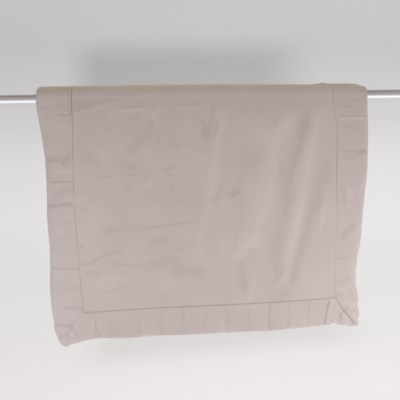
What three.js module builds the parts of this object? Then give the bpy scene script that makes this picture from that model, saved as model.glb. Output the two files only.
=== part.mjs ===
// A baby blanket hung over a round rail. A plain, lightly wadded centre panel is framed by four
// wadded border strips, mitred at the corners and stitched into channels straight across.
// The longer side hangs in front. It hangs a little askew, and its side edges curl away backwards.
//
// Millimetres. +X runs along the rail, -Y is the front and +Z is up.
// The origin is the centre of the rail's left end face.

import * as THREE from 'three';

// The rail.
const railLength = 1000;
const railRadius = 15;
const railChamfer = 1.5;
const railSides = 48;

// The blanket as cut. u runs across it from its left edge, and v along it from its front hem.
const blanketWidth = 762;
const blanketLength = 1016;
const leftBorder = 82;
const rightBorder = 74;
const frontBorder = 66;
const backBorder = 70;
const seamGap = 0.3;

// Thickness, through the wadding and at the stitching.
const panelThickness = 12.5;
const cellThickness = 14;
const grooveThickness = 9;
const seamThickness = 5;
const edgeRound = 13;
const seamRound = 12;

// Stitched channels, counted from the front hem up each side strip and along the back strip.
const channelPitch = 50.2;
const channelCount = 20;
const grooveWidth = 11;
const channelStart = { left: 18, right: 10, back: 26 };

// Channels of the front strip: where each meets the strip's middle, and how far it leans.
const frontChannels = [
  { across: 112, lean: 6 },
  { across: 159, lean: 0 },
  { across: 221, lean: 0 },
  { across: 273, lean: 0 },
  { across: 326, lean: 0 },
  { across: 378, lean: 0 },
  { across: 428, lean: 0 },
  { across: 481, lean: 0 },
  { across: 531, lean: 0 },
  { across: 577, lean: 2 },
  { across: 625, lean: 5 },
  { across: 667, lean: 12 },
];

// How it hangs. The cloth lies on the rail over half a turn, and the rest hangs straight down.
const blanketLeft = 119;
const seatGap = 0.4;
const seatHalf = 6;
const bendRadius = railRadius + seatGap + seatHalf;
const bendLength = Math.PI * bendRadius;
const bendStart = 553;
const backDrop = { left: 388, right: 406 };
const easing = 40;

// The front hem and the seam above it: how far each lies below the rail's axis.
const frontHem = [
  { across: 0, hem: 583, seam: 499 },
  { across: 34, hem: 588, seam: 499 },
  { across: 62, hem: 575, seam: 499 },
  { across: 106, hem: 561, seam: 498 },
  { across: 250, hem: 559, seam: 491 },
  { across: 400, hem: 559, seam: 488 },
  { across: 530, hem: 554, seam: 484 },
  { across: 640, hem: 544, seam: 479 },
  { across: 688, hem: 542, seam: 475 },
  { across: 730, hem: 552, seam: 474 },
  { across: 762, hem: 552, seam: 473 },
];

// How much the wadding bulks up where it bends over the rail.
const bulkOverRail = [
  { across: 0, height: 3 },
  { across: 250, height: 3.5 },
  { across: 450, height: 3 },
  { across: 620, height: 0 },
  { across: 680, height: 1.5 },
  { across: 725, height: 0 },
  { across: 762, height: -2 },
];

// The width of cloth that turns back along each side edge, at distances below the rail's axis.
const turnRadius = 16;
const turnedBehind = 0.7;
const turnedBack = [
  { drop: 4, left: 0, right: 0 },
  { drop: 26, left: 12, right: 9 },
  { drop: 50, left: 21, right: 16 },
  { drop: 92, left: 27, right: 18 },
  { drop: 140, left: 29, right: 17 },
  { drop: 175, left: 32, right: 16 },
  { drop: 220, left: 30, right: 23 },
  { drop: 280, left: 31, right: 29 },
  { drop: 345, left: 33, right: 35 },
  { drop: 385, left: 31, right: 40 },
  { drop: 440, left: 29, right: 42 },
  { drop: 500, left: 31, right: 35 },
  { drop: 545, left: 36, right: 32 },
  { drop: 580, left: 43, right: 32 },
];

// The main folds of the front: soft ridges, and troughs with a negative height, between two places.
const folds = [
  { across: 434, drop: 20, toAcross: 405, toDrop: 121, width: 20, height: 2.5 },
  { across: 405, drop: 121, toAcross: 367, toDrop: 330, width: 24, height: 3 },
  { across: 393, drop: 30, toAcross: 376, toDrop: 95, width: 16, height: -2 },
  { across: 596, drop: 20, toAcross: 540, toDrop: 100, width: 20, height: 3 },
  { across: 536, drop: 110, toAcross: 513, toDrop: 262, width: 24, height: 3.5 },
  { across: 510, drop: 275, toAcross: 449, toDrop: 390, width: 24, height: 3 },
  { across: 620, drop: 30, toAcross: 570, toDrop: 260, width: 18, height: -2.5 },
  { across: 640, drop: 30, toAcross: 606, toDrop: 193, width: 18, height: 2.5 },
  { across: 604, drop: 205, toAcross: 560, toDrop: 454, width: 24, height: 3 },
  { across: 671, drop: 148, toAcross: 579, toDrop: 430, width: 20, height: -2.5 },
  { across: 214, drop: 122, toAcross: 269, toDrop: 51, width: 22, height: -1.5 },
  { across: 232, drop: 399, toAcross: 308, toDrop: 367, width: 22, height: -1.5 },
];

// Mesh steps. The strips share theirs, so that they meet along the mitres.
const stripShares = [0, 0.07, 0.2, 0.36, 0.55, 0.92, 1];
const panelColumns = 17;
const hangingStep = 34;
const bendSteps = 11;
const seamStep = 4;
const cellShoulder = 11;

const smooth = (x) => {
  const t = Math.min(Math.max(x, 0), 1);
  return t * t * (3 - 2 * t);
};
const mix = (a, b, t) => a + (b - a) * t;
const evenly = (from, to, count) => Array.from({ length: count + 1 }, (_, i) => mix(from, to, i / count));

// A padded edge: nothing at the stitching, full height at a distance of reach, a quarter round between.
const padded = (distance, reach) => Math.sqrt(1 - (1 - Math.min(Math.max(distance / reach, 0), 1)) ** 2);

// One column of a table, read at a place between its rows along a smooth curve through them.
function tableAt(rows, key, column, at) {
  const last = rows.length - 1;
  const slope = (i) => {
    const before = rows[Math.max(i - 1, 0)];
    const after = rows[Math.min(i + 1, last)];
    return (after[column] - before[column]) / (after[key] - before[key]);
  };
  if (at <= rows[0][key]) return rows[0][column];
  if (at >= rows[last][key]) return rows[last][column];
  const i = rows.findLastIndex((row) => row[key] <= at);
  const step = rows[i + 1][key] - rows[i][key];
  const t = (at - rows[i][key]) / step;
  const bow = t * (1 - t) * step * ((1 - t) * slope(i) - t * slope(i + 1));
  return mix(rows[i][column], rows[i + 1][column], smooth(t)) + bow;
}

// The drape.

// How far below the rail's axis the cloth at (u, v) is, on the front and on the back.
function frontDropAt(u, v) {
  const seam = tableAt(frontHem, 'across', 'seam', u);
  if (v > frontBorder) return seam * (bendStart - v) / (bendStart - frontBorder);
  return mix(tableAt(frontHem, 'across', 'hem', u), seam, v / frontBorder);
}

function backDropAt(u, v) {
  const hem = mix(backDrop.left, backDrop.right, u / blanketWidth);
  return hem * (v - bendStart - bendLength) / (blanketLength - bendStart - bendLength);
}

// How much the cloth is pressed flat against the rail: wholly above the rail's underside, and then less.
const pressedAt = (drop) => 1 - smooth((drop - railRadius) / easing);

// The folds' height at a place: across a fold a bell curve, along it full between soft ends.
function foldHeight(u, drop) {
  let height = 0;
  for (const fold of folds) {
    const along = [fold.toAcross - fold.across, fold.toDrop - fold.drop];
    const length = Math.hypot(...along);
    const away = [u - fold.across, drop - fold.drop];
    const share = (away[0] * along[0] + away[1] * along[1]) / length ** 2;
    const aside = (away[0] * along[1] - away[1] * along[0]) / length;
    const beyond = length * Math.max(-share, share - 1, 0);
    height += fold.height * Math.exp(-((aside / fold.width) ** 2) - (beyond / fold.width) ** 2);
  }
  return height * smooth((drop - railRadius) / easing);
}

// The middle surface at (u, v): its place, its outward direction, how much it is pressed on the rail,
// and how much it bulks up there.
function middleSurface(u, v) {
  const place = new THREE.Vector3(blanketLeft + u, -bendRadius, 0);
  const outward = new THREE.Vector3(0, -1, 0);
  const across = new THREE.Vector3(1, 0, 0);
  let drop = 0;
  let pressed = 1;
  if (v < bendStart) {
    drop = frontDropAt(u, v);
    pressed = pressedAt(drop);
    place.z = -drop;
  } else if (v < bendStart + bendLength) {
    const turn = (v - bendStart) / bendRadius;
    outward.set(0, -Math.cos(turn), Math.sin(turn));
    drop = -Math.sin(turn) * bendRadius;
    place.copy(outward).multiplyScalar(bendRadius).setX(blanketLeft + u);
  } else {
    drop = backDropAt(u, v);
    pressed = pressedAt(drop);
    outward.set(0, 1, 0);
    place.set(blanketLeft + u, bendRadius, -drop);
  }
  const onLeft = u < blanketWidth / 2;
  const share = v < bendStart ? 1 : turnedBehind;
  const turned = share * tableAt(turnedBack, 'drop', onLeft ? 'left' : 'right', drop);
  const past = turned - (onLeft ? u : blanketWidth - u);
  if (past > 0) {
    const angle = past / turnRadius;
    const sideways = onLeft ? 1 : -1;
    const bulge = v < bendStart ? -1 : 1;
    place.addScaledVector(across, sideways * (past - turnRadius * Math.sin(angle)));
    place.addScaledVector(outward, bulge * turnRadius * (1 - Math.cos(angle)));
    outward.multiplyScalar(Math.cos(angle)).addScaledVector(across, bulge * sideways * Math.sin(angle));
  }
  if (v < bendStart) place.addScaledVector(outward, foldHeight(u, drop));
  const bulk = tableAt(bulkOverRail, 'across', 'height', u) * Math.max(-drop / bendRadius, 0);
  return { place, outward, pressed, bulk };
}

// The thickness.

// The distance from the nearest stitched groove, as a padded height between grooves.
const evenGroove = (at, start) => {
  const share = (at - start) / channelPitch;
  return Math.abs(share - Math.round(share)) * channelPitch;
};

function frontGroove(u, v) {
  const lean = v / frontBorder - 0.5;
  return Math.min(...frontChannels.map((channel) => Math.abs(u - channel.across - channel.lean * lean)));
}

// The distance from (u, v) to a mitre, which runs from the corner to the corner of the seams.
function toMitre(fromSide, side, fromEnd, end) {
  return Math.abs(fromSide * end - fromEnd * side) / Math.hypot(side, end);
}

function panelThicknessAt(u, v) {
  const toSides = Math.min(u - leftBorder, blanketWidth - rightBorder - u);
  const toEnds = Math.min(v - frontBorder, blanketLength - backBorder - v);
  return mix(seamThickness, panelThickness, padded(Math.min(toSides, toEnds), seamRound));
}

// A strip's thickness from its distances to the outer edge, the seam, the mitres and the groove.
function stripThickness(edge, seam, mitre, groove) {
  const body = padded(edge, edgeRound) * padded(seam, seamRound) * padded(mitre, seamRound);
  return mix(seamThickness, mix(grooveThickness, cellThickness, padded(groove, grooveWidth)), body);
}

function sideThicknessAt(width, start) {
  return (fromEdge, v) => {
    const frontMitre = toMitre(fromEdge, width, v, frontBorder);
    const backMitre = toMitre(fromEdge, width, blanketLength - v, backBorder);
    return stripThickness(fromEdge, width - fromEdge, Math.min(frontMitre, backMitre), evenGroove(v, start));
  };
}

function endThicknessAt(width, groove) {
  return (u, fromHem) => {
    const leftMitre = toMitre(u, leftBorder, fromHem, width);
    const rightMitre = toMitre(blanketWidth - u, rightBorder, fromHem, width);
    return stripThickness(fromHem, width - fromHem, Math.min(leftMitre, rightMitre), groove(u, fromHem));
  };
}

// The outer face takes the whole thickness over the rail, where the inner face lies flat on it.
function clothPoint(u, v, thickness, outerFace) {
  const { place, outward, pressed, bulk } = middleSurface(u, v);
  const inner = mix(thickness / 2, seatHalf, pressed);
  return place.addScaledVector(outward, outerFace ? thickness - inner + bulk : -inner);
}

// The mesh of one piece, over a grid of u and v places: two faces and the narrow wall between them.
function clothGeometry(uPlaces, vPlaces, cut, thicknessAt) {
  const columns = uPlaces.length;
  const rows = vPlaces.length;
  const positions = [];
  const fromMiddle = [];
  for (const outerFace of [true, false]) {
    for (const vPlace of vPlaces) {
      for (const uPlace of uPlaces) {
        const [u, v] = cut(uPlace, vPlace);
        positions.push(...clothPoint(u, v, thicknessAt(u, v), outerFace));
        fromMiddle.push(Math.abs(u - blanketWidth / 2));
      }
    }
  }
  const outer = (i, j) => j * columns + i;
  const inner = (i, j) => rows * columns + outer(i, j);
  const index = [];
  const quad = (a, b, c, d) => index.push(a, b, c, a, c, d);
  for (let j = 0; j < rows - 1; j++) {
    for (let i = 0; i < columns - 1; i++) {
      quad(outer(i, j), outer(i + 1, j), outer(i + 1, j + 1), outer(i, j + 1));
      quad(inner(i, j), inner(i, j + 1), inner(i + 1, j + 1), inner(i + 1, j));
    }
  }
  // A wall's diagonal always starts at the outer face's corner nearer the middle, so that the
  // twisted walls of two strips fit each other along a mitre.
  const wall = (outerA, outerB, innerB, innerA) => {
    if (fromMiddle[outerA] < fromMiddle[outerB]) quad(outerA, outerB, innerB, innerA);
    else quad(outerB, innerB, innerA, outerA);
  };
  for (let i = 0; i < columns - 1; i++) {
    wall(outer(i + 1, 0), outer(i, 0), inner(i, 0), inner(i + 1, 0));
    wall(outer(i, rows - 1), outer(i + 1, rows - 1), inner(i + 1, rows - 1), inner(i, rows - 1));
  }
  for (let j = 0; j < rows - 1; j++) {
    wall(outer(0, j), outer(0, j + 1), inner(0, j + 1), inner(0, j));
    wall(outer(columns - 1, j + 1), outer(columns - 1, j), inner(columns - 1, j), inner(columns - 1, j + 1));
  }
  const geometry = new THREE.BufferGeometry();
  geometry.setAttribute('position', new THREE.Float32BufferAttribute(positions, 3));
  geometry.setIndex(index);
  geometry.computeVertexNormals();
  return geometry;
}

// Places along the cloth.

// Grid places from one end of a strip to the other, three to a channel: its groove and two shoulders.
function channelPlaces(from, to, grooves) {
  const lines = [from, ...grooves.filter((at) => at > from + grooveWidth && at < to - grooveWidth), to];
  const cells = lines.slice(1).flatMap((line, i) => {
    const shoulder = Math.min(cellShoulder, (line - lines[i]) / 3);
    return [lines[i], lines[i] + shoulder, line - shoulder];
  });
  return [...cells, to];
}

const bendPlaces = evenly(bendStart, bendStart + bendLength, bendSteps);
const evenGrooves = (start) => evenly(start, start + channelCount * channelPitch, channelCount);

function sidePlaces(start) {
  const before = channelPlaces(0, bendStart, evenGrooves(start));
  const after = channelPlaces(bendStart + bendLength, blanketLength, evenGrooves(start));
  return [...before, ...bendPlaces.slice(1, -1), ...after];
}

const mitreReach = 2 * channelPitch;
const mitreGap = seamGap / 2 * Math.SQRT2;

// A strip's places near its ends slide onto the mitres.
function slideToMitre(at, length, startMitre, endMitre) {
  const fromEnd = length - at;
  if (at < mitreReach) return mix(startMitre, mitreReach, at / mitreReach);
  if (fromEnd < mitreReach) return length - mix(endMitre, mitreReach, fromEnd / mitreReach);
  return at;
}

const acrossStrip = (width) => stripShares.map((share) => share * (width - seamGap / 2));

const clothLook = (color) => new THREE.MeshStandardMaterial({ color, roughness: 0.95, metalness: 0 });
const chromeLook = () => new THREE.MeshStandardMaterial({ color: '#cfcfd2', roughness: 0.15, metalness: 1 });

function named(name, geometry, look) {
  const mesh = new THREE.Mesh(geometry, look);
  mesh.name = name;
  return mesh;
}

// The pieces.

function centrePanel() {
  const left = leftBorder + seamGap / 2;
  const right = blanketWidth - rightBorder - seamGap / 2;
  const front = frontBorder + seamGap / 2;
  const back = blanketLength - backBorder - seamGap / 2;
  const hangingSteps = Math.round((bendStart - front) / hangingStep);
  const backSteps = Math.round((back - bendStart - bendLength) / hangingStep);
  const uPlaces = [
    left,
    left + seamStep,
    ...evenly(left + seamRound, right - seamRound, panelColumns),
    right - seamStep,
    right,
  ];
  const vPlaces = [
    front,
    front + seamStep,
    ...evenly(front + seamRound, bendStart, hangingSteps).slice(0, -1),
    ...bendPlaces,
    ...evenly(bendStart + bendLength, back - seamRound, backSteps).slice(1),
    back - seamStep,
    back,
  ];
  const geometry = clothGeometry(uPlaces, vPlaces, (u, v) => [u, v], panelThicknessAt);
  return named('centre_panel', geometry, clothLook('#baaea9'));
}

function sideBorder(name, width, start, onLeft) {
  const fromEdge = (u) => (onLeft ? u : blanketWidth - u);
  const places = acrossStrip(width);
  const uPlaces = onLeft ? places : places.map((place) => blanketWidth - place).reverse();
  const cut = (u, v) => {
    const share = fromEdge(u) / width;
    return [u, slideToMitre(v, blanketLength, frontBorder * share + mitreGap, backBorder * share + mitreGap)];
  };
  const thickness = sideThicknessAt(width, start);
  const geometry = clothGeometry(uPlaces, sidePlaces(start), cut, (u, v) => thickness(fromEdge(u), v));
  return named(name, geometry, clothLook('#b9aca8'));
}

function endBorder(name, width, channelLines, groove, inFront) {
  const fromHem = (v) => (inFront ? v : blanketLength - v);
  const places = acrossStrip(width);
  const vPlaces = inFront ? places : places.map((place) => blanketLength - place).reverse();
  const cut = (u, v) => {
    const share = fromHem(v) / width;
    return [slideToMitre(u, blanketWidth, leftBorder * share + mitreGap, rightBorder * share + mitreGap), v];
  };
  const thickness = endThicknessAt(width, groove);
  const uPlaces = channelPlaces(0, blanketWidth, channelLines);
  const geometry = clothGeometry(uPlaces, vPlaces, cut, (u, v) => thickness(u, fromHem(v)));
  return named(name, geometry, clothLook('#b9aca8'));
}

function rail() {
  const shape = new THREE.LatheGeometry([
    new THREE.Vector2(0, 0),
    new THREE.Vector2(railRadius - railChamfer, 0),
    new THREE.Vector2(railRadius, railChamfer),
    new THREE.Vector2(railRadius, railLength - railChamfer),
    new THREE.Vector2(railRadius - railChamfer, railLength),
    new THREE.Vector2(0, railLength),
  ], railSides);
  const mesh = named('rail', shape, chromeLook());
  mesh.rotation.z = -Math.PI / 2;
  return mesh;
}

const frontLines = frontChannels.map((channel) => channel.across);
const backLines = evenGrooves(channelStart.back);
const backGroove = (u) => evenGroove(u, channelStart.back);

const group = new THREE.Group();
group.add(
  rail(),
  centrePanel(),
  sideBorder('border_left', leftBorder, channelStart.left, true),
  sideBorder('border_right', rightBorder, channelStart.right, false),
  endBorder('border_front', frontBorder, frontLines, frontGroove, true),
  endBorder('border_back', backBorder, backLines, backGroove, false),
);

export default group;
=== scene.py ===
import math

import bpy
import numpy as np
from mathutils import Matrix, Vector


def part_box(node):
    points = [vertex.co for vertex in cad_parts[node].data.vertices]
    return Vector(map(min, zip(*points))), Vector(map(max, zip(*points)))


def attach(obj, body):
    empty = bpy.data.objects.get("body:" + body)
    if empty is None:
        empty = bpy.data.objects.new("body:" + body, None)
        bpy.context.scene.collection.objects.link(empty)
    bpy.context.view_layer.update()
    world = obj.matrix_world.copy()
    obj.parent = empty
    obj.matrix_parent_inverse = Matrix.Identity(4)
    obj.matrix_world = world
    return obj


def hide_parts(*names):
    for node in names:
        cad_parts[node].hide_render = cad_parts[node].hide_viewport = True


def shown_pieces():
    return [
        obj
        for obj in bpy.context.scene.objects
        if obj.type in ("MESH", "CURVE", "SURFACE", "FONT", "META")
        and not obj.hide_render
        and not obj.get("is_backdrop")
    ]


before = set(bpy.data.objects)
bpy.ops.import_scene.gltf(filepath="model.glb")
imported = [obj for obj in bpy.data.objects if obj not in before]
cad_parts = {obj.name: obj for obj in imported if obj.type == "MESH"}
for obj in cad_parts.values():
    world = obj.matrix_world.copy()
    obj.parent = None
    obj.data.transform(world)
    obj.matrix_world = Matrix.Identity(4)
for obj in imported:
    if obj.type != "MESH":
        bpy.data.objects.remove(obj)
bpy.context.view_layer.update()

# A baby blanket over a rail. A wadded centre panel is framed by four channel-stitched strips.
# The tables are in millimetres: u runs across the blanket from its left edge, v along it from
# the front hem, and drop is how far a place hangs below the rail's axis.

mm = 0.001
railLow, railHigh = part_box("rail")


def addObject(name, data):
    thing = bpy.data.objects.new(name, data)
    bpy.context.scene.collection.objects.link(thing)
    return thing


camera = {
    "place": (0.467, -1.143, -0.122),
    "fieldOfView": 45.0,    # degrees, as are the turns
    "lookDown": 5.83,
    "lookRight": 1.04,
    "leanRight": 0.92,
    "sees": (0.05, 30),     # from and to, in metres
}


def makeCamera():
    data = bpy.data.cameras.new("camera")
    data.angle = math.radians(camera["fieldOfView"])
    data.clip_start, data.clip_end = camera["sees"]
    thing = addObject("camera", data)
    level = Matrix.Rotation(math.radians(90 - camera["lookDown"]), 4, "X")
    aim = Matrix.Rotation(-math.radians(camera["lookRight"]), 4, "Z")
    lean = Matrix.Rotation(-math.radians(camera["leanRight"]), 4, "Z")
    thing.matrix_world = Matrix.Translation(camera["place"]) @ aim @ level @ lean
    bpy.context.scene.camera = thing


makeCamera()
print("camera set")


# The value a share t of the way from a to b.
def mix(a, b, t):
    return a + (b - a) * t


# A soft step: 0 below 0, 1 above 1, and 3t² - 2t³ between.
def softStep(x):
    t = np.clip(x, 0, 1)
    return t * t * (3 - 2 * t)


# A quarter round: 0 at the stitching, 1 at a distance of reach, and between them the root of
# 1 - (1 - d/reach)².
def padded(distance, reach):
    return np.sqrt(1 - (1 - np.clip(distance / reach, 0, 1)) ** 2)


# A bell curve: 1 at a distance of 0, and e to the power -(d/width)² further off.
def bell(distance, width):
    return np.exp(-(distance / width) ** 2)


# A smooth curve through a table's rows: between two rows a soft step, plus a bow t(1 - t) that
# gives it at each row the slope between that row's neighbours.
def alongTable(table, key, column, at):
    keys, values = np.array(table[key], float), np.array(table[column], float)
    before = np.r_[0, np.arange(len(keys) - 1)]
    after = np.r_[np.arange(1, len(keys)), len(keys) - 1]
    slopes = (values[after] - values[before]) / (keys[after] - keys[before])
    at = np.clip(at, keys[0], keys[-1])
    i = np.clip(np.searchsorted(keys, at, side="right") - 1, 0, len(keys) - 2)
    step = keys[i + 1] - keys[i]
    t = (at - keys[i]) / step
    bow = t * (1 - t) * step * ((1 - t) * slopes[i] - t * slopes[i + 1])
    return mix(values[i], values[i + 1], softStep(t)) + bow


# The height at (u, drop) of ridges and troughs drawn as short strokes. Across a stroke it is a bell
# curve, with its own width on each side. Along it, it is even, and a soft step at each end makes
# strokes that meet run on into one another.
def strokeHeight(strokes, u, drop):
    height = np.zeros_like(u)
    for fromU, fromDrop, toU, toDrop, rightWidth, leftWidth, tall in strokes:
        alongU, alongDrop = toU - fromU, toDrop - fromDrop
        length = math.hypot(alongU, alongDrop)
        awayU, awayDrop = u - fromU, drop - fromDrop
        share = (awayU * alongU + awayDrop * alongDrop) / length ** 2
        aside = (awayU * alongDrop - awayDrop * alongU) / length       # above 0 to the stroke's left
        soft = length / (2 * min(leftWidth, rightWidth))
        ends = softStep(share * soft + 0.5) * softStep((1 - share) * soft + 0.5)
        height += tall * bell(aside, np.where(aside > 0, leftWidth, rightWidth)) * ends
    return height


blanket = {
    "width": 762, "length": 1016,
    "left": 82, "right": 74, "front": 66, "back": 70,     # the strips' widths
    "seamGap": 0.3,
    "fromRailEnd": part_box("border_left")[0].x / mm,
}

hanging = {
    "railRadius": (railHigh.z - railLow.z) / 2 / mm,
    "seatGap": 0.4,         # between the cloth and the rail
    "seatHalf": 6,          # the half of the thickness that lies on the rail
    "overRail": 553,        # v where the cloth starts over the rail
    "backDropLeft": 388, "backDropRight": 406,
    "easing": 40,           # below the rail the cloth loosens over this much drop
    "turnRadius": 16,       # of the side edges, which curl away backwards
    "turnedBehind": 0.7,    # how much of that curl the back has
}
bendRadius = hanging["railRadius"] + hanging["seatGap"] + hanging["seatHalf"]
bendLength = math.pi * bendRadius

# How far down the front hem and the seam above it are, across the blanket.
frontHem = {
    "across": [0, 22, 40, 52, 64, 90, 112, 150, 196, 244, 340, 436, 484, 532, 580, 628, 655, 676, 688,
               700, 717, 739, 762],
    "hem": [570, 581, 584, 578, 575, 568, 565, 565, 565, 561.5, 560.5, 557.5, 556, 556, 552, 548, 545.5,
            543, 539, 544, 546, 550, 549],
    "seam": [499, 499, 499, 499, 499, 498.5, 498, 496, 494, 491.5, 489.5, 487, 485.5, 484, 482, 479.5, 478,
             476, 475, 474.5, 474, 473.5, 473],
}

# How much thicker the cloth stands over the rail, across the blanket.
bulkOverRail = {
    "across": [0, 250, 450, 620, 640, 656, 666, 676, 700, 730, 742, 750, 756, 762],
    "height": [3, 3.5, 3, 0, 0.5, 2.2, 3.6, 1.6, 1.2, 0.5, -1.5, -4, -5.5, -2],
}

# How much of each side is curled away, at each drop.
turnedBack = {
    "drop": [4, 26, 50, 92, 140, 175, 220, 280, 345, 385, 440, 485, 497, 510, 524, 532, 543, 552, 562,
             570, 580, 592],
    "left": [0, 15, 22.5, 29, 34, 34, 34, 32, 34, 33, 29, 30, 30.5, 32, 33.5, 34, 34.5, 36, 40, 42, 46, 50],
    "right": [0, 9, 13.5, 12, 11, 13, 21, 28, 31, 38, 41, 33.5, 36, 33, 31, 33.5, 32, 31, 31, 31, 31, 31],
}

# How far the side seams stray sideways in front, at each drop, and how far that reaches.
sway = {
    "drop": [-20, 5, 20, 41, 70, 109, 188, 240, 292, 349, 407, 449, 482, 520],
    "left": [0, 0, 0, 0, 0, -1.6, -2.4, -3.2, -1.6, 0.8, 3.2, 5, 7, 6],
    "right": [-11, -10, -9, -6, -1, 0, 0, 2, 4, 0, 0, 0, 0, 0],
    "reach": 60,
}

# Soft folds through both faces: from (u, drop) to (u, drop), the widths to the right and to the
# left of that direction, seen from the front, and the height.
folds = [
    (434, 6, 422, 53, 8, 9, 1.2), (422, 53, 405, 121, 8, 10, 1.3), (405, 121, 392, 213, 8, 12, 1.1),
    (392, 213, 367, 330, 9, 16, 0.9), (367, 330, 360, 400, 9, 16, 0.5),
    (401, 20, 382, 92, 11, 14, -1.4), (425, 186, 404, 236, 7, 9, -1.2), (424, 206, 437, 196, 8, 8, 0.9),
    (439, 223, 460, 214, 7, 7, -1.1), (592, 12, 566, 48, 10, 24, 1.8), (566, 48, 546, 76, 9, 26, 2.0),
    (546, 76, 532, 150, 22, 18, 1.5), (532, 150, 513, 262, 22, 20, 1.9),
    (513, 262, 476, 332, 18, 20, 1.7), (476, 332, 449, 384, 16, 16, 1.0),
    (626, 16, 601, 113, 15, 16, -1.6), (601, 113, 573, 193, 14, 15, -1.9),
    (573, 193, 562, 275, 13, 15, -1.4), (562, 275, 540, 380, 14, 18, -1.2),
    (540, 380, 560, 420, 14, 14, -0.6), (645, 22, 624, 101, 12, 17, 1.4),
    (624, 101, 608, 193, 14, 15, 1.7), (608, 193, 590, 299, 14, 14, 1.6),
    (590, 299, 560, 454, 16, 15, 1.1), (671, 148, 634, 252, 17, 15, -1.4),
    (634, 252, 606, 347, 15, 14, -1.6), (606, 347, 583, 430, 14, 14, -1.5),
    (583, 430, 560, 478, 15, 14, -1.1), (460, 380, 472, 456, 10, 9, -1.5),
    (472, 380, 492, 352, 14, 10, -0.9), (498, 410, 483, 477, 8, 8, 1.1),
    (530, 400, 522, 470, 10, 10, 0.8), (657, 236, 648, 316, 6, 6, 1.0),
    (508, 104, 470, 190, 18, 18, -0.9), (560, 150, 548, 205, 9, 9, -0.6),
    (500, 306, 480, 344, 14, 16, 1.0), (214, 122, 269, 51, 10, 14, -1.0),
    (270, 90, 284, 118, 9, 9, -0.6), (232, 399, 308, 367, 12, 12, -0.9),
    (310, 410, 372, 396, 14, 12, -0.5), (100, 430, 210, 415, 20, 16, 0.5),
    (100, 280, 180, 272, 16, 14, 0.4), (120, 122, 190, 110, 18, 18, 0.4),
    (290, 250, 372, 236, 16, 14, -0.5),
]


# The drop at (u, v). In front it falls evenly from the rail to the seam and from the seam to the
# hem, and behind evenly to the back hem.
def frontDrop(u, v):
    seam = alongTable(frontHem, "across", "seam", u)
    hem = alongTable(frontHem, "across", "hem", u)
    share = (hanging["overRail"] - v) / (hanging["overRail"] - blanket["front"])
    return np.where(v > blanket["front"], seam * share, mix(hem, seam, v / blanket["front"]))


def backDrop(u, v):
    start = hanging["overRail"] + bendLength
    hem = mix(hanging["backDropLeft"], hanging["backDropRight"], u / blanket["width"])
    return hem * (v - start) / (blanket["length"] - start)


# Two faces of the cloth at (u, v), in metres, and the height of its folds. The middle surface hangs
# straight down in front, goes half round the rail and hangs down behind. Near a seam in front it
# strays sideways, and near a side edge it follows an arc backwards. The outer face lies above it,
# and the inner face below, along the middle surface's outward line, and the folds move both.
def clothFaces(u, v, thickness, relief):
    turn = np.clip((v - hanging["overRail"]) / bendRadius, 0, math.pi)
    inFront = v < hanging["overRail"]
    overRail = ~inFront & (v < hanging["overRail"] + bendLength)
    drop = np.where(inFront, frontDrop(u, v), backDrop(u, v))
    drop = np.where(overRail, -np.sin(turn) * bendRadius, drop)
    loosened = softStep((drop - hanging["railRadius"]) / hanging["easing"])
    pressed = np.where(overRail, 1, 1 - loosened)
    outY, outZ = -np.cos(turn), np.sin(turn)
    x, y, z = blanket["fromRailEnd"] + u, outY * bendRadius, -drop
    behind = softStep((v - hanging["overRail"]) / bendLength)
    for side, seam in (("left", blanket["left"]), ("right", blanket["width"] - blanket["right"])):
        strays = alongTable(sway, "drop", side, drop) * bell(u - seam, sway["reach"])
        x = x + strays * (1 - behind)

    onLeft = u < blanket["width"] / 2
    turned = np.where(onLeft, alongTable(turnedBack, "drop", "left", drop),
                      alongTable(turnedBack, "drop", "right", drop))
    turned = turned * np.where(inFront, 1, hanging["turnedBehind"])
    past = np.maximum(turned - np.where(onLeft, u, blanket["width"] - u), 0)
    radius = hanging["turnRadius"]
    angle = past / radius
    inwards = np.where(onLeft, 1, -1)
    bulge = np.where(inFront, -1, 1)
    x = x + inwards * (past - radius * np.sin(angle))
    arc = bulge * radius * (1 - np.cos(angle))
    y, z = y + outY * arc, z + outZ * arc
    outX = bulge * inwards * np.sin(angle)
    outY, outZ = outY * np.cos(angle), outZ * np.cos(angle)

    lift = np.where(inFront, strokeHeight(folds, u, drop) * loosened, 0)
    bulk = alongTable(bulkOverRail, "across", "height", u) * np.maximum(-drop / bendRadius, 0)
    inner = mix(thickness / 2, hanging["seatHalf"], pressed)
    above = thickness - inner + bulk + relief
    out = np.stack([outX, outY, outZ], -1)
    middle = np.stack([x, y, z], -1) + out * lift[..., None]
    return (middle + out * above[..., None]) * mm, (middle - out * inner[..., None]) * mm, lift


# The drop of (u, v) in front, and far above everything elsewhere, so that strokes stay in front.
def strokeDrop(u, v):
    return np.where(v < hanging["overRail"], frontDrop(u, v), -1000)


# Painted shade and light that follow the shape, from 0 on a ridge to 1 in a trough.
shading = {
    "flat": 0.4,
    "fold": 0.36,           # for each millimetre of a fold
    "crease": 1.1,          # for each millimetre of a crease
    "groove": 0.7,          # for a stitched groove of full depth
}

# Painted shade on the cloth's outer face, and at one dimple painted shade with a faint stain, drawn as
# strokes too, with a darkness for a height.
shadeMarks = [
    (436, 224, 462, 213, 8.5, 8.5, 0.8), (84, 22, 190, 4, 14, 14, 0.22),
    (388, 60, 380, 86, 10, 10, 0.2), (60, 12, 430, 8, 26, 16, 0.30), (430, 8, 770, 8, 34, 16, 0.32),
    (726, 40, 722, 200, 30, 30, 0.22), (556, 390, 546, 475, 22, 22, 0.4),
    (500, 30, 600, 20, 16, 20, 0.1), (40, 134, 66, 134, 10, 9, 0.35), (60, 150, 68, 136, 6, 6, 0.35),
    (740, 128, 754, 126, 7, 6, 0.6), (581, 309, 581, 311, 2, 2, 0.6), (90, 28, 74, 60, 12, 6, 0.1),
]
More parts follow.
